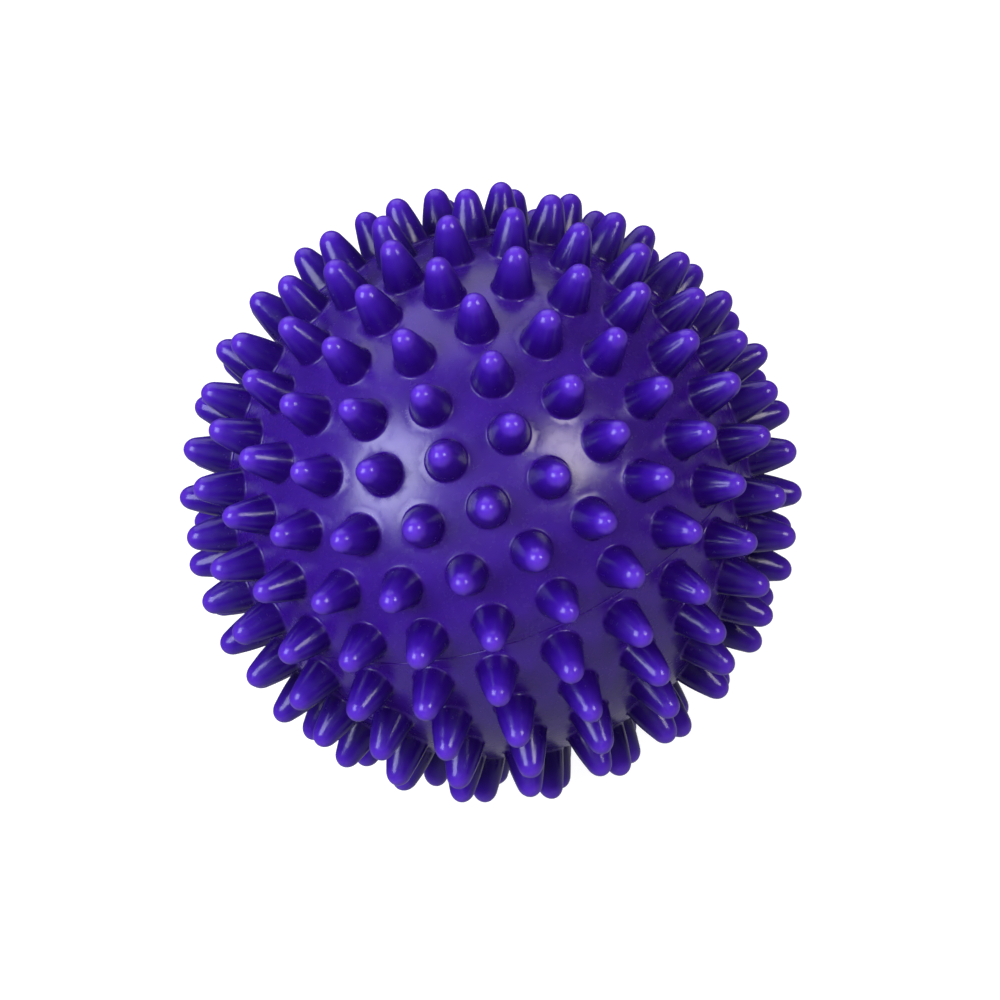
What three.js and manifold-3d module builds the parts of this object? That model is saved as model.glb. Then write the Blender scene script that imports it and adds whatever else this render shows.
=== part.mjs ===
// Massage ball: a hollow ball of soft PVC with rings of blunt spikes all over it.
//
// The ball is two half shells that meet at a parting line in the plane z = 0. The spikes are moulded on the
// shells. They stand in rings of latitude, and each pole of the mould would be the centre of a last ring. The
// upper pole has a spike. The lower pole has the air valve instead: a flanged sleeve pressed into a boss of
// the lower shell, closed at its inner end by the skin that a pump's needle goes through, and a plug that
// covers it and pulls out downwards. The ball stands on the five spikes round the valve.
//
// Millimetres, +Z up, origin at the centre of the ball. Longitude 0 is the -Y side, and it grows towards +X.

import * as THREE from 'three';
import { mergeVertices } from 'three/addons/utils/BufferGeometryUtils.js';
import Module from 'manifold-3d';

// The ball
const TIP_RADIUS = 37.5; // centre of the ball to the tip of a spike, so the ball is 75 mm across
const SKIN_RADIUS = 31.8; // centre of the ball to the skin between the spikes
const WALL = 2.2;
const GAP = 0.3; // between pieces that touch on the real ball

// The spikes
const FOOT_RADIUS = 2.55;
const TIP_FACE_RADIUS = 0.9;
const SPIKE_SIDES = 5;
const FOOT_DEPTH = 0.5; // how far a foot reaches into the wall
const EQUATOR_SPIKES = 25; // as many as fit round the ball, and fewer on each ring towards a pole
const RING_STEP = 12; // degrees of latitude from one ring to the next
const RINGS = 7; // on each half, the first of them half a step from the parting line

// Longitude, in degrees, of one spike of each ring, from the parting line to the pole
const UPPER_TURNS = [4.5, 3.5, 14.5, 11, 16, 26, 34];
const LOWER_TURNS = [1.5, 2, 2, 18.5, 5.5, 14, 36];

// The lap joint at the parting line: a lip of the lower shell stands inside a rebate of the upper one
const LIP_HEIGHT = 2;
const LIP_RADIUS = 30.6;

// The valve at the lower pole
const BOSS_RADIUS = 6;
const BOSS_TOP = -25.5;
const FLANGE_RADIUS = 3.3;
const FLANGE_THICKNESS = 1.1;
const VALVE_FACE = -31.4; // height of the flange's outer face
const SLEEVE_RADIUS = 2.6;
const SLEEVE_TOP = -25;
const HEAD_SEAT_RADIUS = 2.15;
const HEAD_SEAT_DEPTH = 0.6;
const SLEEVE_BORE_RADIUS = 1.45;
const NEEDLE_SKIN = 0.8; // thickness of the sleeve's closed inner end
const PLUG_HEAD_RADIUS = 1.85;
const PLUG_HEAD_THICKNESS = 0.8;
const PLUG_STEM_RADIUS = 1.15;
const PLUG_END_RADIUS = 0.9;

// Fineness of the round shapes
const SHELL_SIDES = 30;
const VALVE_SIDES = 20;
const ARC_STEPS = 7;

const SKIN_FINISH = { color: 0x4b2f9c, roughness: 0.35 };
const VALVE_FINISH = { color: 0x3a2680, roughness: 0.45 };

const wasm = await Module();
wasm.setup();

function toSolid(geometry) {
  const bare = geometry.clone();
  bare.deleteAttribute('normal');
  bare.deleteAttribute('uv');
  const merged = mergeVertices(bare);
  return new wasm.Manifold(new wasm.Mesh({
    numProp: 3,
    vertProperties: new Float32Array(merged.attributes.position.array),
    triVerts: new Uint32Array(merged.index.array),
  }));
}

function toGeometry(solid) {
  const mesh = solid.getMesh();
  const geometry = new THREE.BufferGeometry();
  geometry.setAttribute('position', new THREE.BufferAttribute(new Float32Array(mesh.vertProperties), 3));
  geometry.setIndex(new THREE.BufferAttribute(new Uint32Array(mesh.triVerts), 1));
  geometry.computeVertexNormals();
  return geometry;
}

// Turns an outline of [radius, height] points about the Z axis. The outline runs counter-clockwise
// where radius is to the right and height is up.
function revolve(outline, sides) {
  const points = outline.map(([radius, height]) => new THREE.Vector2(radius, height));
  return new THREE.LatheGeometry(points, sides).rotateX(Math.PI / 2);
}

// Points on a circle about the centre of the ball, from one height to another
function arc(radius, fromHeight, toHeight) {
  const from = Math.acos(fromHeight / radius);
  const to = Math.acos(toHeight / radius);
  return Array.from({ length: ARC_STEPS + 1 }, (_, step) => {
    const angle = THREE.MathUtils.lerp(from, to, step / ARC_STEPS);
    return [radius * Math.sin(angle), radius * Math.cos(angle)];
  });
}

// Height on the lower half of a sphere at a distance from the Z axis
function lowerHeight(sphereRadius, axisDistance) {
  return -Math.sqrt(sphereRadius ** 2 - axisDistance ** 2);
}

function direction(latitude, longitude) {
  const rise = THREE.MathUtils.degToRad(latitude);
  const turn = THREE.MathUtils.degToRad(longitude);
  return new THREE.Vector3(
    Math.cos(rise) * Math.sin(turn),
    -Math.cos(rise) * Math.cos(turn),
    Math.sin(rise),
  );
}

function spike(outward) {
  const foot = SKIN_RADIUS - FOOT_DEPTH;
  const height = TIP_RADIUS - foot;
  const geometry = new THREE.CylinderGeometry(TIP_FACE_RADIUS, FOOT_RADIUS, height, SPIKE_SIDES);
  geometry.translate(0, foot + height / 2, 0);
  geometry.applyQuaternion(new THREE.Quaternion().setFromUnitVectors(new THREE.Vector3(0, 1, 0), outward));
  return toSolid(geometry);
}

// The directions of a half's spikes: side is 1 for the upper half and -1 for the lower
function ringDirections(side, turns) {
  return Array.from({ length: RINGS }, (_, ring) => {
    const latitude = RING_STEP * (ring + 0.5);
    const count = Math.round(EQUATOR_SPIKES * Math.cos(THREE.MathUtils.degToRad(latitude)));
    return Array.from({ length: count }, (__, place) => (
      direction(side * latitude, turns[ring] + (360 * place) / count)
    ));
  }).flat();
}

function withSpikes(shell, directions) {
  return directions.reduce((solid, outward) => solid.add(spike(outward)), shell);
}

function upperShell() {
  const inside = SKIN_RADIUS - WALL;
  const rebateTop = LIP_HEIGHT + GAP;
  const rebateRadius = LIP_RADIUS + GAP;
  const outline = [
    ...arc(inside, inside, rebateTop),
    [rebateRadius, rebateTop],
    [rebateRadius, GAP / 2],
    ...arc(SKIN_RADIUS, GAP / 2, SKIN_RADIUS),
  ];
  return withSpikes(toSolid(revolve(outline, SHELL_SIDES)), [
    ...ringDirections(1, UPPER_TURNS),
    direction(90, 0),
  ]);
}

function lowerShell() {
  const inside = SKIN_RADIUS - WALL;
  const recessRadius = FLANGE_RADIUS + GAP;
  const holeRadius = SLEEVE_RADIUS + GAP;
  const recessFloor = VALVE_FACE + FLANGE_THICKNESS + GAP;
  const outline = [
    [holeRadius, recessFloor],
    [recessRadius, recessFloor],
    ...arc(SKIN_RADIUS, lowerHeight(SKIN_RADIUS, recessRadius), -GAP / 2),
    [LIP_RADIUS, -GAP / 2],
    [LIP_RADIUS, LIP_HEIGHT],
    [inside, LIP_HEIGHT],
    ...arc(inside, 0, lowerHeight(inside, BOSS_RADIUS)),
    [BOSS_RADIUS, BOSS_TOP],
    [holeRadius, BOSS_TOP],
    [holeRadius, recessFloor],
  ];
  return withSpikes(toSolid(revolve(outline, SHELL_SIDES)), ringDirections(-1, LOWER_TURNS));
}

function valveSleeve() {
  const flangeInside = VALVE_FACE + FLANGE_THICKNESS;
  const seatFloor = VALVE_FACE + HEAD_SEAT_DEPTH;
  const boreEnd = SLEEVE_TOP - NEEDLE_SKIN;
  return revolve([
    [0, boreEnd],
    [SLEEVE_BORE_RADIUS, boreEnd],
    [SLEEVE_BORE_RADIUS, seatFloor],
    [HEAD_SEAT_RADIUS, seatFloor],
    [HEAD_SEAT_RADIUS, VALVE_FACE],
    [FLANGE_RADIUS, VALVE_FACE],
    [FLANGE_RADIUS, flangeInside],
    [SLEEVE_RADIUS, flangeInside],
    [SLEEVE_RADIUS, SLEEVE_TOP],
    [0, SLEEVE_TOP],
  ], VALVE_SIDES);
}

function valvePlug() {
  const headTop = VALVE_FACE + HEAD_SEAT_DEPTH - GAP;
  const headFace = headTop - PLUG_HEAD_THICKNESS;
  const plugTop = SLEEVE_TOP - NEEDLE_SKIN - GAP;
  return revolve([
    [0, headFace],
    [PLUG_HEAD_RADIUS, headFace],
    [PLUG_HEAD_RADIUS, headTop],
    [PLUG_STEM_RADIUS, headTop],
    [PLUG_END_RADIUS, plugTop],
    [0, plugTop],
  ], VALVE_SIDES);
}

function piece(name, geometry, finish) {
  const material = new THREE.MeshStandardMaterial({ ...finish, metalness: 0 });
  const mesh = new THREE.Mesh(geometry, material);
  mesh.name = name;
  return mesh;
}

const group = new THREE.Group();
group.add(
  piece('upper_shell', toGeometry(upperShell()), SKIN_FINISH),
  piece('lower_shell', toGeometry(lowerShell()), SKIN_FINISH),
  piece('valve_sleeve', valveSleeve(), VALVE_FINISH),
  piece('valve_plug', valvePlug(), VALVE_FINISH),
);

export default group;
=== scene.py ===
"""Massage ball: the fine surface, materials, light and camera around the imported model.

The two half shells are built again as smooth solids: a skin triangulated round the feet of the spikes, and a
smooth turned spike on each foot. The directions of the spikes and the heights of the valve come from the
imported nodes. Lengths are in millimetres and are scaled to metres as each mesh is made.
"""

import math
import random

import bmesh
import bpy
from mathutils import Matrix, Vector, noise
from mathutils.geometry import delaunay_2d_cdt
from mathutils.kdtree import KDTree


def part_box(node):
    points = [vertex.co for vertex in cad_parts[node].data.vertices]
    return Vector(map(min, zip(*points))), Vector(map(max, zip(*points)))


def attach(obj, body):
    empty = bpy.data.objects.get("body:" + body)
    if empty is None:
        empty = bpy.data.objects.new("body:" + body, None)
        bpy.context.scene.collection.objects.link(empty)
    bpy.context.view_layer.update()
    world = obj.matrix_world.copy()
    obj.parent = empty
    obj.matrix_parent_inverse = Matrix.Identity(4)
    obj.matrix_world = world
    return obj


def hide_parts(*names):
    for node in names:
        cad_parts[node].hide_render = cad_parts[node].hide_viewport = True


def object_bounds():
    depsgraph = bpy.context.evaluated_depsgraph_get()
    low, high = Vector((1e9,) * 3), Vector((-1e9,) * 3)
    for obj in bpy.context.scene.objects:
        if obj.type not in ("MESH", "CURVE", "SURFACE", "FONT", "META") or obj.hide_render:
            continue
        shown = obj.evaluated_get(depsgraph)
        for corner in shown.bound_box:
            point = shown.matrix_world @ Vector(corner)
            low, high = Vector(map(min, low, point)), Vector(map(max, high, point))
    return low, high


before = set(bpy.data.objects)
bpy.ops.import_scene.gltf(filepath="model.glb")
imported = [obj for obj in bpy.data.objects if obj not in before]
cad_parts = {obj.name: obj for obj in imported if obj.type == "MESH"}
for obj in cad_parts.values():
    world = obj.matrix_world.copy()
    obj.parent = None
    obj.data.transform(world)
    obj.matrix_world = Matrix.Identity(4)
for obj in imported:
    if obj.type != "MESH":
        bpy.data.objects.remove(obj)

MM = 0.001
CAD_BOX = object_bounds()

# The ball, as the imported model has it
TIP_RADIUS = 37.5
SKIN_RADIUS = 31.8
INNER_RADIUS = 29.6
LIP_RADIUS = 30.6
LIP_HEIGHT = 2.0
REBATE_RADIUS = 30.9
REBATE_HEIGHT = 2.3

# The spikes: a cone with an egg-shaped end, on a small fillet
CONE_FOOT_RADIUS = 2.42
CAP_RADIUS = 1.58
CAP_LENGTH = 1.95
BELLY = 0.08  # how far the side stands out from a straight cone
FILLET = 0.28
FOOT_RADIUS = CONE_FOOT_RADIUS + FILLET
SPIKE_SIDES = 28
CONE_STEPS = 6
CAP_STEPS = 8
FILLET_STEPS = 3
FILLET_RISE = 1.6  # the fillet is drawn out by this, because the foot is sunk into the skin
TIP_FACE_SPAN = 2.5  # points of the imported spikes' tips that are closer than this share a tip

# Small differences between the spikes
LEAN = 0.16  # how far a tip stands off its radius, typically
LENGTH_SPREAD = 0.12
GIRTH_SPREAD = 0.012
OVAL_MOST = 0.025
WOBBLE = 0.012
FADE_IN = 4  # the differences in girth are full above 1/4 of the length

# The skin
SKIN_PITCH = 0.72  # between the points of the skin
WAVE = 0.022  # height of the slow waves in the skin
FINE_WAVE_SHARE = 0.45
SINK = 0.05  # depth of the sink round the foot of a spike
SINK_REACH = 0.7
POINT_AREA = 0.87  # area of the skin for each point, in squares of the pitch
FOOT_CLEARANCE = SKIN_PITCH * 0.5
EDGE_CLEARANCE = SKIN_PITCH * 0.4

# The parting line
SEAM_SIDES = 300
SEAM_MARGIN = 0.42  # height of the skin's last ring
SEAM_GAP = 0.008
BURR_THRESHOLD = 0.28
BURR_SIZE = 0.5
RIPPLE = 0.035

# Fineness of the inside
UPPER_ARC_STEPS = 12
LOWER_ARC_STEPS = 14
LEAST_ARC_SIDES = 48
HOLE_SIDES = 48

# The valve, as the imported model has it
RECESS_RADIUS = 3.6
RECESS_FLOOR = -30.0
HOLE_RADIUS = 2.9
BOSS_RADIUS = 6.0
BOSS_TOP = -25.5
FLANGE_RADIUS = 3.3
FLANGE_THICKNESS = 1.1
SLEEVE_RADIUS = 2.6
SEAT_RADIUS = 2.15
SEAT_DEPTH = 0.6
BORE_RADIUS = 1.45
NEEDLE_SKIN = 0.8
HEAD_RADIUS = 1.85
HEAD_THICKNESS = 0.8
STEM_RADIUS = 1.15
STEM_END_RADIUS = 0.9

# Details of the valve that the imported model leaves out, as (radius, height above the face)
FLANGE_GROOVE = [(2.55, 0), (2.62, 0.1), (2.74, 0.1), (2.81, 0)]
HEAD_DIMPLE = [(0, 0.22), (0.45, 0.22), (0.8, 0)]
STEM_BEAD = [(1.08, 2.2), (1.2, 2.45), (1.05, 2.7)]

rng = random.Random(7)


# ---------------------------------------------------------------- mesh helpers

class Surface:
    """Points and faces that are gathered piece by piece. Spike faces take the second material."""

    def __init__(self):
        self.points = []
        self.faces = []
        self.spike_faces = []

    def add(self, points):
        first = len(self.points)
        self.points.extend(points)
        return list(range(first, len(self.points)))

    def zip_rings(self, lower, upper):
        """Faces between two closed rings that start at the same angle and turn the same way."""
        if len(lower) == len(upper):
            count = len(lower)
            for i in range(count):
                j = (i + 1) % count
                self.faces.append((lower[i], lower[j], upper[j], upper[i]))
            return
        i = j = 0
        while i < len(lower) or j < len(upper):
            step_lower = (i + 1) / len(lower) <= (j + 1) / len(upper)
            a = lower[i % len(lower)]
            b = upper[j % len(upper)]
            if step_lower:
                i += 1
                self.faces.append((a, lower[i % len(lower)], b))
            else:
                j += 1
                self.faces.append((a, upper[j % len(upper)], b))

    def close(self, ring, point):
        """A fan from a ring to one point."""
        tip = self.add([point])[0]
        for i, a in enumerate(ring):
            self.faces.append((a, ring[(i + 1) % len(ring)], tip))

    def to_object(self, name, *materials):
        mesh = bpy.data.meshes.new(name)
        mesh.from_pydata([Vector(p) * MM for p in self.points], [], self.faces)
        for material in materials:
            mesh.materials.append(material)
        for number in self.spike_faces:
            mesh.polygons[number].material_index = 1
        bm = bmesh.new()
        bm.from_mesh(mesh)
        bmesh.ops.recalc_face_normals(bm, faces=bm.faces)
        bm.to_mesh(mesh)
        bm.free()
        mesh.shade_smooth()
        piece = bpy.data.objects.new(name, mesh)
        bpy.context.scene.collection.objects.link(piece)
        return piece


def circle(radius, height, sides):
    return [
        Vector((radius * math.cos(a), radius * math.sin(a), height))
        for a in (2 * math.pi * i / sides for i in range(sides))
    ]


def square_to(direction):
    """Two unit vectors square to a direction and to each other."""
    across = direction.orthogonal().normalized()
    return across, direction.cross(across)


# ---------------------------------------------------------------- the skin's shape

def skin_height(direction):
    """Slow waves of the moulded skin, in millimetres."""
    slow = noise.noise(direction * 5.0)
    fine = noise.noise(direction * 13.0 + Vector((7.0, 0.0, 0.0)))
    return WAVE * (slow + FINE_WAVE_SHARE * fine)


def skin_point(direction, foot_distance):
    sink = SINK * math.exp(-max(foot_distance, 0.0) / SINK_REACH)
    return direction * (SKIN_RADIUS + skin_height(direction) - sink)


# ---------------------------------------------------------------- spikes

def spike_directions(node):
    """The directions of a packed shell's spikes, from the points of their flat tips."""
    tips = []
    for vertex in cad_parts[node].data.vertices:
        point = vertex.co / MM
        if point.length < TIP_RADIUS - 0.1:
            continue
        near = next((tip for tip in tips if (tip[0] - point).length < TIP_FACE_SPAN), None)
        if near:
            near[1].append(point)
        else:
            tips.append((point, [point]))
    return [sum(set_of, Vector()).normalized() for _, set_of in tips]


def spike_profile():
    """(radius, height) above the foot ring, from the first ring inside it to the last under the tip."""
    cap_base = TIP_RADIUS - SKIN_RADIUS - CAP_LENGTH
    slope = math.atan2(CONE_FOOT_RADIUS - CAP_RADIUS, cap_base)
    cap_start = math.atan(CAP_LENGTH / CAP_RADIUS * math.tan(slope))
    profile = []
    for step in range(1, FILLET_STEPS + 1):
        turn = (math.pi / 2 - slope) * step / FILLET_STEPS
        profile.append((FOOT_RADIUS - FILLET * math.sin(turn), FILLET * (1 - math.cos(turn))))
    foot = profile[-1]
    top = (CAP_RADIUS * math.cos(cap_start), cap_base + CAP_LENGTH * math.sin(cap_start))
    for step in range(1, CONE_STEPS + 1):
        share = step / (CONE_STEPS + 1)
        profile.append((
            foot[0] + (top[0] - foot[0]) * share + BELLY * math.sin(math.pi * share),
            foot[1] + (top[1] - foot[1]) * share,
        ))
    for step in range(CAP_STEPS):
        turn = cap_start + (math.pi / 2 - cap_start) * step / CAP_STEPS
        profile.append((CAP_RADIUS * math.cos(turn), cap_base + CAP_LENGTH * math.sin(turn)))
    return profile


SPIKE_PROFILE = spike_profile()


def foot_ring(direction):
    """The points where a spike's fillet runs out into the skin."""
    across, along = square_to(direction)
    opening = math.asin(FOOT_RADIUS / SKIN_RADIUS)
    ring = []
    for i in range(SPIKE_SIDES):
        turn = 2 * math.pi * i / SPIKE_SIDES
        sideways = across * math.cos(turn) + along * math.sin(turn)
        ring.append(direction * math.cos(opening) + sideways * math.sin(opening))
    return ring


def add_spike(surface, direction, foot):
    """The side and the round end of one spike, on the ring of points foot."""
    across, along = square_to(direction)
    lean_turn = rng.uniform(0, 2 * math.pi)
    lean = (across * math.cos(lean_turn) + along * math.sin(lean_turn)) * rng.gauss(0, LEAN)
    stretch = 1 + rng.uniform(-LENGTH_SPREAD, 0) / (TIP_RADIUS - SKIN_RADIUS)
    girth = 1 + rng.gauss(0, GIRTH_SPREAD)
    oval = rng.uniform(0, OVAL_MOST)
    oval_turn = rng.uniform(0, math.pi)
    seed = Vector((rng.uniform(-50, 50), rng.uniform(-50, 50), 0))
    base = direction * (SKIN_RADIUS * math.cos(math.asin(FOOT_RADIUS / SKIN_RADIUS)) - SINK)
    full = TIP_RADIUS - base.length
    first_face = len(surface.faces)
    ring = foot
    for radius, height in SPIKE_PROFILE:
        rise = height + SKIN_RADIUS - base.length if height > FILLET else height * FILLET_RISE
        share = rise / full
        centre = base + direction * rise * (1 + (stretch - 1) * share) + lean * share ** 1.5
        points = []
        for i in range(SPIKE_SIDES):
            turn = 2 * math.pi * i / SPIKE_SIDES
            wobble = 1 + oval * math.cos(2 * (turn - oval_turn)) * share
            around = Vector((math.cos(turn) * 0.8, math.sin(turn) * 0.8, share * 0.6))
            wobble += WOBBLE * noise.noise(around + seed)
            reach = radius * (1 + (girth * wobble - 1) * min(share * FADE_IN, 1))
            points.append(centre + (across * math.cos(turn) + along * math.sin(turn)) * reach)
        upper = surface.add(points)
        surface.zip_rings(ring, upper)
        ring = upper
    surface.close(ring, base + direction * full * stretch + lean)
    surface.spike_faces.extend(range(first_face, len(surface.faces)))


# ---------------------------------------------------------------- half shells

def fibonacci_half(side):
    """Evenly spread directions over one half of the ball."""
    count = round(2 * math.pi * SKIN_RADIUS ** 2 / (SKIN_PITCH ** 2 * POINT_AREA))
    golden = math.pi * (3 - math.sqrt(5))
    for i in range(count):
        height = (i + 0.5) / count
        flat = math.sqrt(1 - height * height)
        yield Vector((flat * math.cos(i * golden), flat * math.sin(i * golden), side * height))


def flatten(direction):
    """Stereographic projection from the opposite pole, which keeps circles round."""
    return Vector((direction.x, direction.y)) / (1 + abs(direction.z))


def outer_skin(surface, side, spikes, hole_ring):
    """The skin of one half and its spikes. Returns the ring by the parting line, and the hole's ring."""
    feet = KDTree(len(spikes))
    for i, direction in enumerate(spikes):
        feet.insert(direction, i)
    feet.balance()

    def foot_distance(direction):
        _, _, chord = feet.find(direction)
        return SKIN_RADIUS * 2 * math.asin(min(chord / 2, 1)) - FOOT_RADIUS

    rise = math.asin(SEAM_MARGIN / SKIN_RADIUS)
    rim = [
        Vector((math.cos(rise) * p.x, math.cos(rise) * p.y, side * math.sin(rise)))
        for p in circle(1, 0, SEAM_SIDES)
    ]
    loops = [rim] + [foot_ring(direction) for direction in spikes]
    if hole_ring:
        loops.append(hole_ring)
    hole_edge = hole_ring[0].xy.length + EDGE_CLEARANCE / SKIN_RADIUS if hole_ring else 0
    fill = [
        direction for direction in fibonacci_half(side)
        if foot_distance(direction) > FOOT_CLEARANCE
        and abs(direction.z) > (SEAM_MARGIN + EDGE_CLEARANCE) / SKIN_RADIUS
        and direction.xy.length > hole_edge
    ]

    directions = []
    owner = []
    edges = []
    for number, loop in enumerate(loops):
        first = len(directions)
        directions.extend(loop)
        owner.extend([number] * len(loop))
        edges.extend((first + i, first + (i + 1) % len(loop)) for i in range(len(loop)))
    directions.extend(fill)
    owner.extend([-1] * len(fill))

    flat = [flatten(direction) for direction in directions]
    _, _, triangles, _, _, _ = delaunay_2d_cdt(flat, edges, [], 0, 1e-9)
    indices = surface.add([
        skin_point(direction, foot_distance(direction)) for direction in directions
    ])
    for triangle in triangles:
        owners = {owner[v] for v in triangle}
        inside_a_loop = len(owners) == 1 and owners.pop() > 0
        if not inside_a_loop:
            surface.faces.append(tuple(indices[v] for v in triangle))

    start = len(rim)
    for direction in spikes:
        add_spike(surface, direction, indices[start:start + SPIKE_SIDES])
        start += SPIKE_SIDES
    return indices[:len(rim)], indices[start:start + len(hole_ring)] if hole_ring else None


def flash(angle, side):
    """Small burrs and dips of the weld along the parting line, in millimetres."""
    spot = Vector((math.cos(angle) * 34, math.sin(angle) * 34, side * 3.0))
    burr = max(noise.noise(spot) - BURR_THRESHOLD, 0) * BURR_SIZE
    ripple = RIPPLE * noise.noise(spot * 0.45)
    return burr + ripple


def rim_rings(surface, side, ring, inner_steps):
    """Carries the skin round the edge at the parting line and on to the inside."""
    edge = [
        (SKIN_RADIUS, 0.20),
        (SKIN_RADIUS - 0.012, 0.10),
        (SKIN_RADIUS - 0.045, SEAM_GAP + 0.015),
        (SKIN_RADIUS - 0.20, SEAM_GAP),
    ]
    for number, (radius, height) in enumerate(edge):
        points = []
        for point in circle(radius, side * height, SEAM_SIDES):
            swell = flash(math.atan2(point.y, point.x), side) if number < 3 else 0
            points.append(point * ((radius + swell * (0.5 + 0.25 * number)) / radius))
            points[-1].z = point.z
        upper = surface.add(points)
        surface.zip_rings(ring, upper)
        ring = upper
    for radius, height in inner_steps:
        upper = surface.add(circle(radius, height, SEAM_SIDES))
        surface.zip_rings(ring, upper)
        ring = upper
    return ring


def inner_arc(surface, ring, from_height, to_height, steps):
    """Carries a ring along the inside of the wall, with fewer sides towards the pole."""
    start = math.asin(from_height / INNER_RADIUS)
    end = math.asin(to_height / INNER_RADIUS)
    for step in range(1, steps + 1):
        angle = start + (end - start) * step / steps
        sides = max(LEAST_ARC_SIDES, round(SEAM_SIDES * math.cos(angle) / 2))
        upper = surface.add(circle(INNER_RADIUS * math.cos(angle), INNER_RADIUS * math.sin(angle), sides))
        surface.zip_rings(ring, upper)
        ring = upper
    return ring


def upper_shell(skin_pvc, spike_pvc):
    surface = Surface()
    ring, _ = outer_skin(surface, 1, spike_directions("upper_shell"), None)
    inner_edge = math.sqrt(INNER_RADIUS ** 2 - REBATE_HEIGHT ** 2)
    ring = rim_rings(surface, 1, ring, [
        (REBATE_RADIUS, SEAM_GAP),
        (REBATE_RADIUS, REBATE_HEIGHT),
        (inner_edge, REBATE_HEIGHT),
    ])
    ring = inner_arc(surface, ring, REBATE_HEIGHT, INNER_RADIUS * 0.995, UPPER_ARC_STEPS)
    surface.close(ring, Vector((0, 0, INNER_RADIUS)))
    piece = surface.to_object("upper_skin", skin_pvc, spike_pvc)
    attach(piece, "ball")
    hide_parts("upper_shell")


def lower_shell(skin_pvc, spike_pvc):
    surface = Surface()
    opening = math.asin(RECESS_RADIUS / SKIN_RADIUS)
    hole = [
        Vector((p.x, p.y, -math.cos(opening)))
        for p in circle(math.sin(opening), 0, HOLE_SIDES)
    ]
    ring, hole_ring = outer_skin(surface, -1, spike_directions("lower_shell"), hole)
    inner_edge = math.sqrt(INNER_RADIUS ** 2 - LIP_HEIGHT ** 2)
    ring = rim_rings(surface, -1, ring, [
        (LIP_RADIUS, -SEAM_GAP),
        (LIP_RADIUS, LIP_HEIGHT - 0.2),
        (LIP_RADIUS - 0.2, LIP_HEIGHT),
        (inner_edge, LIP_HEIGHT),
    ])
    boss_height = -math.sqrt(INNER_RADIUS ** 2 - BOSS_RADIUS ** 2)
    ring = inner_arc(surface, ring, LIP_HEIGHT, boss_height, LOWER_ARC_STEPS)
    for radius, height in [
        (BOSS_RADIUS, BOSS_TOP - 0.3),
        (BOSS_RADIUS - 0.3, BOSS_TOP),
        (HOLE_RADIUS, BOSS_TOP),
        (HOLE_RADIUS, RECESS_FLOOR),
        (RECESS_RADIUS, RECESS_FLOOR),
        (RECESS_RADIUS, -SKIN_RADIUS * math.cos(opening) + 0.25),
    ]:
        upper = surface.add(circle(radius, height, HOLE_SIDES))
        surface.zip_rings(ring, upper)
        ring = upper
    surface.zip_rings(ring, hole_ring)
    piece = surface.to_object("lower_skin", skin_pvc, spike_pvc)
    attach(piece, "ball")
    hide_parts("lower_shell")


# ---------------------------------------------------------------- valve

def turned(name, outline, sides, material, body, node):
    """A piece turned about the Z axis. Its outline starts and ends on the axis."""
    surface = Surface()
    rings = [surface.add(circle(radius, height, sides)) for radius, height in outline if radius > 0]
    for lower, upper in zip(rings, rings[1:]):
        surface.zip_rings(lower, upper)
    surface.close(rings[0], Vector((0, 0, outline[0][1])))
    surface.close(rings[-1], Vector((0, 0, outline[-1][1])))
    piece = surface.to_object(name, material)
    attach(piece, body)
    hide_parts(node)


def rounded(points, radius, steps=3):
    """The outline with each corner between its two ends rounded."""
    result = [points[0]]
    for before, corner, after in zip(points, points[1:], points[2:]):
        here = Vector(corner)
        back = Vector(before) - here
        ahead = Vector(after) - here
        reach = min(radius, back.length / 2.2, ahead.length / 2.2)
        start = here + back.normalized() * reach
        end = here + ahead.normalized() * reach
        for step in range(steps + 1):
            t = step / steps
            p = start * (1 - t) ** 2 + here * 2 * t * (1 - t) + end * t * t
            result.append((p.x, p.y))
    return result + [points[-1]]


def above(face, details):
    return [(radius, face + height) for radius, height in details]


def valve(material):
    low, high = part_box("valve_sleeve")
    face = low[2] / MM
    top = high[2] / MM
    sleeve = [
        (0, top - NEEDLE_SKIN),
        (BORE_RADIUS, top - NEEDLE_SKIN),
        (BORE_RADIUS, face + SEAT_DEPTH),
        (SEAT_RADIUS, face + SEAT_DEPTH),
        (SEAT_RADIUS, face),
        *above(face, FLANGE_GROOVE),
        (FLANGE_RADIUS, face),
        (FLANGE_RADIUS, face + FLANGE_THICKNESS),
        (SLEEVE_RADIUS, face + FLANGE_THICKNESS),
        (SLEEVE_RADIUS, top),
        (0, top),
    ]
    turned("valve_ring", rounded(sleeve, 0.15), 72, material, "ball", "valve_sleeve")
    low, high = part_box("valve_plug")
    face = low[2] / MM
    top = high[2] / MM
    plug = [
        *above(face, HEAD_DIMPLE),
        (HEAD_RADIUS, face),
        (HEAD_RADIUS, face + HEAD_THICKNESS),
        (STEM_RADIUS, face + HEAD_THICKNESS),
        *above(face, STEM_BEAD),
        (STEM_END_RADIUS, top),
        (0, top),
    ]
    turned("valve_stopper", rounded(plug, 0.14), 64, material, "plug", "valve_plug")


# ---------------------------------------------------------------- materials

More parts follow.
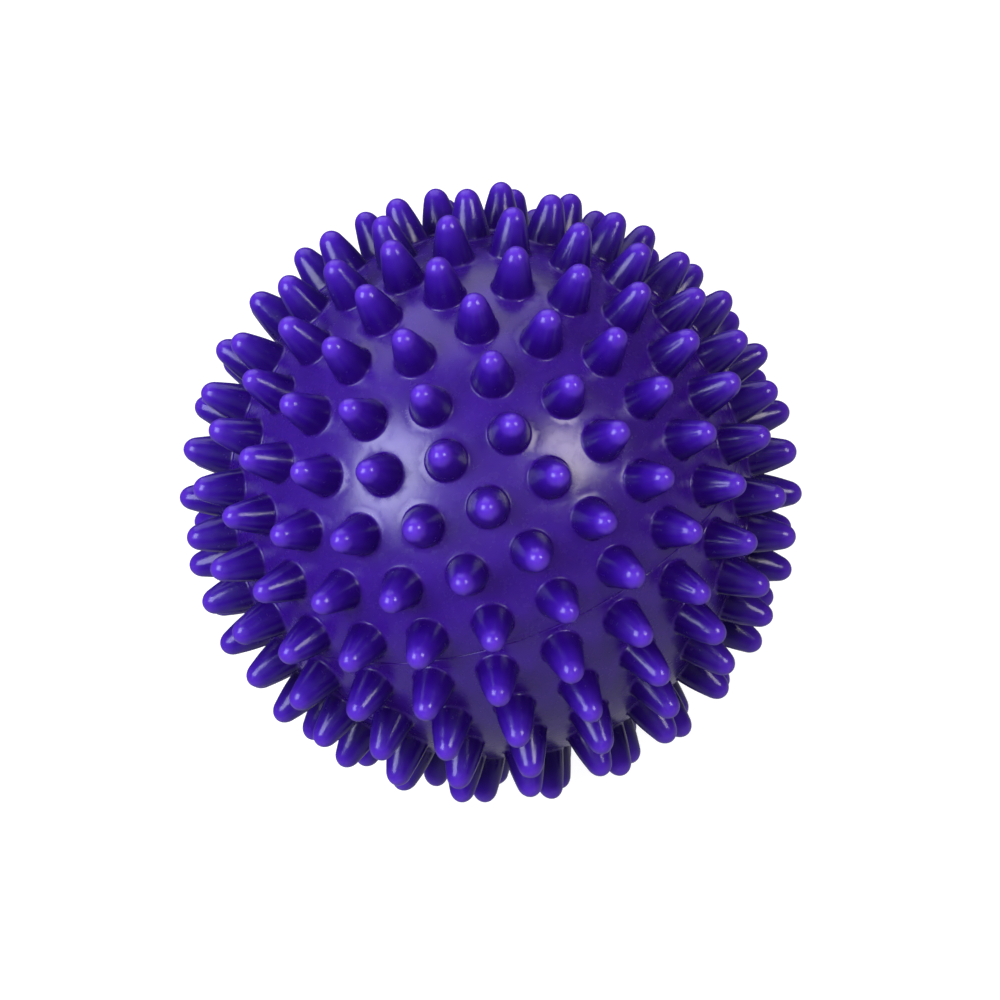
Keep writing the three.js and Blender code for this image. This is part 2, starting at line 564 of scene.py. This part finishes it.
class Nodes:
    """Short calls for one material's node tree."""

    def __init__(self, name):
        self.material = bpy.data.materials.new(name)
        self.material.use_nodes = True
        self.tree = self.material.node_tree
        self.shader = self.tree.nodes["Principled BSDF"]

    def add(self, kind, **values):
        node = self.tree.nodes.new(kind)
        for key, value in values.items():
            if hasattr(node, key):
                setattr(node, key, value)
            else:
                node.inputs[key].default_value = value
        return node

    def link(self, source, target):
        self.tree.links.new(source, target)

    def noise(self, coordinates, scale, detail=3.0, roughness=0.5):
        node = self.add("ShaderNodeTexNoise", Scale=scale, Detail=detail, Roughness=roughness)
        self.link(coordinates, node.inputs["Vector"])
        return node.outputs["Fac"]

    def ramp(self, source, stops):
        node = self.add("ShaderNodeValToRGB")
        elements = node.color_ramp.elements
        while len(elements) < len(stops):
            elements.new(0.5)
        for element, (position, colour) in zip(elements, stops):
            element.position = position
            element.color = colour
        self.link(source, node.inputs["Fac"])
        return node.outputs["Color"]

    def map_range(self, source, low, high, to_low, to_high):
        node = self.add("ShaderNodeMapRange")
        for key, value in (("From Min", low), ("From Max", high), ("To Min", to_low), ("To Max", to_high)):
            node.inputs[key].default_value = value
        self.link(source, node.inputs["Value"])
        return node.outputs["Result"]

    def math(self, operation, first, second):
        node = self.add("ShaderNodeMath", operation=operation)
        for socket, value in zip(node.inputs, (first, second)):
            if isinstance(value, (int, float)):
                socket.default_value = value
            else:
                self.link(value, socket)
        return node.outputs["Value"]

    def bump(self, height, strength, distance, normal=None):
        node = self.add("ShaderNodeBump", Strength=strength, Distance=distance)
        self.link(height, node.inputs["Height"])
        if normal:
            self.link(normal, node.inputs["Normal"])
        return node.outputs["Normal"]


def grey(value):
    return (value, value, value, 1)


def soften(n, weight, scale):
    """The light that soft PVC lets in a little way, more of it blue."""
    n.shader.inputs["Subsurface Weight"].default_value = weight
    n.shader.inputs["Subsurface Radius"].default_value = (0.35, 0.2, 1.0)
    n.shader.inputs["Subsurface Scale"].default_value = scale


def skin_material():
    """Satin violet PVC with a fine grain and faint mottling."""
    n = Nodes("skin_pvc")
    place = n.add("ShaderNodeTexCoord").outputs["Object"]
    colour = n.ramp(n.noise(place, 260, 4, 0.6), [
        (0.30, (0.037, 0.0048, 0.225, 1)),
        (0.70, (0.043, 0.0062, 0.258, 1)),
    ])
    n.link(colour, n.shader.inputs["Base Color"])
    handling = n.map_range(n.noise(place, 900, 3, 0.6), 0.3, 0.7, 0.24, 0.29)
    n.link(handling, n.shader.inputs["Roughness"])
    grain = n.bump(n.noise(place, 2300, 4, 0.6), 0.18, 0.00006)
    dents = n.bump(n.noise(place, 420, 3, 0.5), 0.06, 0.00025, grain)
    n.link(dents, n.shader.inputs["Normal"])
    n.shader.inputs["IOR"].default_value = 1.62
    soften(n, 0.35, 0.0012)
    return n.material


def spike_material():
    """Glossier violet PVC, with painted shade at the foot of a spike and painted light at its end, where the
    light gets in.
    """
    n = Nodes("spike_pvc")
    place = n.add("ShaderNodeTexCoord").outputs["Object"]
    length = n.add("ShaderNodeVectorMath", operation="LENGTH")
    n.link(place, length.inputs[0])
    out = n.map_range(length.outputs["Value"], SKIN_RADIUS * MM, TIP_RADIUS * MM, 0, 1)
    mottle = n.noise(place, 420, 4, 0.6)
    painted_shade_to_glow_and_mottle = n.math("ADD", out, n.math("MULTIPLY", n.math("SUBTRACT", mottle, 0.5), 0.10))
    # The colour along the spike: painted shade at the foot and painted light towards the end, with random
    # mottling.
    colour = n.ramp(painted_shade_to_glow_and_mottle, [
        (0.00, (0.036, 0.0048, 0.220, 1)),
        (0.05, (0.018, 0.0014, 0.135, 1)),
        (0.35, (0.019, 0.0017, 0.165, 1)),
        (0.72, (0.043, 0.0070, 0.310, 1)),
        (1.00, (0.115, 0.0330, 0.560, 1)),
    ])
    n.link(colour, n.shader.inputs["Base Color"])
    gloss = n.ramp(out, [(0.0, grey(0.25)), (1.0, grey(0.19))])
    handling = n.map_range(n.noise(place, 1100, 3, 0.6), 0.3, 0.7, -0.05, 0.05)
    n.link(n.math("ADD", gloss, handling), n.shader.inputs["Roughness"])
    grain = n.bump(n.noise(place, 1900, 3, 0.6), 0.16, 0.00006)
    dents = n.bump(n.noise(place, 700, 2, 0.5), 0.16, 0.00025, grain)
    n.link(dents, n.shader.inputs["Normal"])
    n.shader.inputs["IOR"].default_value = 1.46
    soften(n, 0.35, 0.0012)
    return n.material


def valve_material():
    """Duller violet PVC for the sleeve and the plug."""
    n = Nodes("valve_pvc")
    place = n.add("ShaderNodeTexCoord").outputs["Object"]
    mottle = n.noise(place, 500, 4, 0.6)
    n.link(n.ramp(mottle, [
        (0.3, (0.040, 0.014, 0.210, 1)),
        (0.7, (0.060, 0.022, 0.290, 1)),
    ]), n.shader.inputs["Base Color"])
    n.link(n.map_range(n.noise(place, 1400, 3), 0.3, 0.7, 0.3, 0.42), n.shader.inputs["Roughness"])
    n.link(n.bump(n.noise(place, 2400, 4), 0.15, 0.00005), n.shader.inputs["Normal"])
    soften(n, 0.25, 0.001)
    return n.material


def floor_material():
    n = Nodes("pale_floor")
    place = n.add("ShaderNodeTexCoord").outputs["Object"]
    n.link(n.ramp(n.noise(place, 30, 2), [
        (0.0, (0.29, 0.29, 0.29, 1)),
        (1.0, (0.31, 0.31, 0.31, 1)),
    ]), n.shader.inputs["Base Color"])
    n.shader.inputs["Roughness"].default_value = 0.9
    n.shader.inputs["Specular IOR Level"].default_value = 0.0
    n.shader.inputs["Emission Color"].default_value = (1, 1, 1, 1)
    n.shader.inputs["Emission Strength"].default_value = 0.94
    return n.material


# ---------------------------------------------------------------- camera, light and floor

CAMERA_DISTANCE = 17 * TIP_RADIUS * MM
CAMERA_ELEVATION = math.radians(32.4)
CAMERA_ROLL = math.radians(22.2)  # the ball's axis leans to the left by this
AIM_RIGHT = 1.1 * MM  # the ball sits a little left of the middle and above it
AIM_DOWN = 0.8 * MM
PICTURE_WIDTH = 120.4 * MM  # what the picture's width covers at the centre of the ball
SENSOR_WIDTH = 36

SKY_LEVEL = 0.08
TABLE_LEVEL = 0.42
TABLE_BELOW = -0.50  # a direction's Z under which the table is at its full level
SKY_ABOVE = -0.20

FLOOR_RADIUS = 1500
WALL_RISE = 2000
WALL_STEPS = 8
FLOOR_SIDES = 64


def camera_axes():
    """The camera's right, up and back directions."""
    back = Vector((0, -math.cos(CAMERA_ELEVATION), math.sin(CAMERA_ELEVATION)))
    level = Vector((1, 0, 0))
    rise = back.cross(level)
    right = level * math.cos(CAMERA_ROLL) - rise * math.sin(CAMERA_ROLL)
    up = level * math.sin(CAMERA_ROLL) + rise * math.cos(CAMERA_ROLL)
    return right, up, back


def make_camera():
    right, up, back = camera_axes()
    data = bpy.data.cameras.new("camera")
    camera = bpy.data.objects.new("camera", data)
    bpy.context.scene.collection.objects.link(camera)
    data.sensor_width = SENSOR_WIDTH
    data.lens = SENSOR_WIDTH * CAMERA_DISTANCE / PICTURE_WIDTH
    data.clip_start = 0.01
    place = back * CAMERA_DISTANCE
    aim = right * AIM_RIGHT - up * AIM_DOWN
    turn = (place - aim).normalized()
    side = up.cross(turn).normalized()
    axes = Matrix((side, turn.cross(side), turn)).transposed()
    camera.matrix_world = Matrix.Translation(place) @ axes.to_4x4()
    bpy.context.scene.camera = camera


def softbox(name, sideways, height, toward, distance, size, brightness, tint):
    """A lamp that faces the ball, in the direction given along the camera's axes."""
    right, up, back = camera_axes()
    direction = (right * sideways + up * height + back * toward).normalized()
    data = bpy.data.lights.new(name, "AREA")
    data.shape = "RECTANGLE"
    data.size = size[0]
    data.size_y = size[1]
    data.energy = brightness * math.pi * size[0] * size[1]
    data.color = tint
    lamp = bpy.data.objects.new(name, data)
    bpy.context.scene.collection.objects.link(lamp)
    turn = direction.to_track_quat("Z", "Y").to_matrix().to_4x4()
    lamp.matrix_world = Matrix.Translation(direction * distance) @ turn
    lamp.visible_camera = False
    return lamp


def studio_world():
    """Dim all round, and brighter below, where a pale table would be."""
    world = bpy.data.worlds.new("studio")
    world.use_nodes = True
    tree = world.node_tree
    parts = tree.nodes.new("ShaderNodeSeparateXYZ")
    level = tree.nodes.new("ShaderNodeMapRange")
    level.inputs["From Min"].default_value = TABLE_BELOW
    level.inputs["From Max"].default_value = SKY_ABOVE
    level.inputs["To Min"].default_value = TABLE_LEVEL
    level.inputs["To Max"].default_value = SKY_LEVEL
    tree.links.new(tree.nodes.new("ShaderNodeTexCoord").outputs["Generated"], parts.inputs[0])
    tree.links.new(parts.outputs["Z"], level.inputs["Value"])
    tree.links.new(level.outputs["Result"], tree.nodes["Background"].inputs["Strength"])
    tree.nodes["Background"].inputs["Color"].default_value = (0.86, 0.82, 1, 1)
    bpy.context.scene.world = world


def make_lights():
    softbox("left_box", -0.67, 0.14, 0.725, 0.6, (0.32, 0.40), 7.8, (0.78, 0.80, 1.0))
    softbox("right_box", 0.54, 0.27, 0.80, 0.6, (0.20, 0.24), 9.0, (1.0, 0.93, 0.92))
    softbox("top_box", -0.22, 0.96, 0.02, 0.8, (0.85, 0.80), 1.4, (0.88, 0.84, 1.0))
    fill = softbox("front_fill", -0.20, -0.10, 1.0, 0.8, (0.6, 0.6), 2.9, (1.0, 1.0, 1.0))
    fill.visible_glossy = False
    studio_world()


def make_floor():
    """A pale floor that curves up into a round wall far behind the ball, whatever the view."""
    low = CAD_BOX[0][2] / MM
    surface = Surface()
    ring = surface.add(circle(FLOOR_RADIUS / 2, low, FLOOR_SIDES))
    centre = surface.add([Vector((0, 0, low))])[0]
    surface.faces.extend((a, ring[(i + 1) % FLOOR_SIDES], centre) for i, a in enumerate(ring))
    for step in range(WALL_STEPS + 1):
        turn = math.pi / 2 * step / WALL_STEPS
        radius = FLOOR_RADIUS + WALL_RISE * math.sin(turn)
        upper = surface.add(circle(radius, low + WALL_RISE * (1 - math.cos(turn)), FLOOR_SIDES))
        surface.zip_rings(ring, upper)
        ring = upper
    floor = surface.to_object("floor", floor_material())
    floor.visible_diffuse = False
    floor.visible_glossy = False


make_camera()
skin_pvc = skin_material()
spike_pvc = spike_material()
upper_shell(skin_pvc, spike_pvc)
lower_shell(skin_pvc, spike_pvc)
valve(valve_material())
make_lights()
make_floor()
bpy.context.scene.view_settings.view_transform = "Standard"
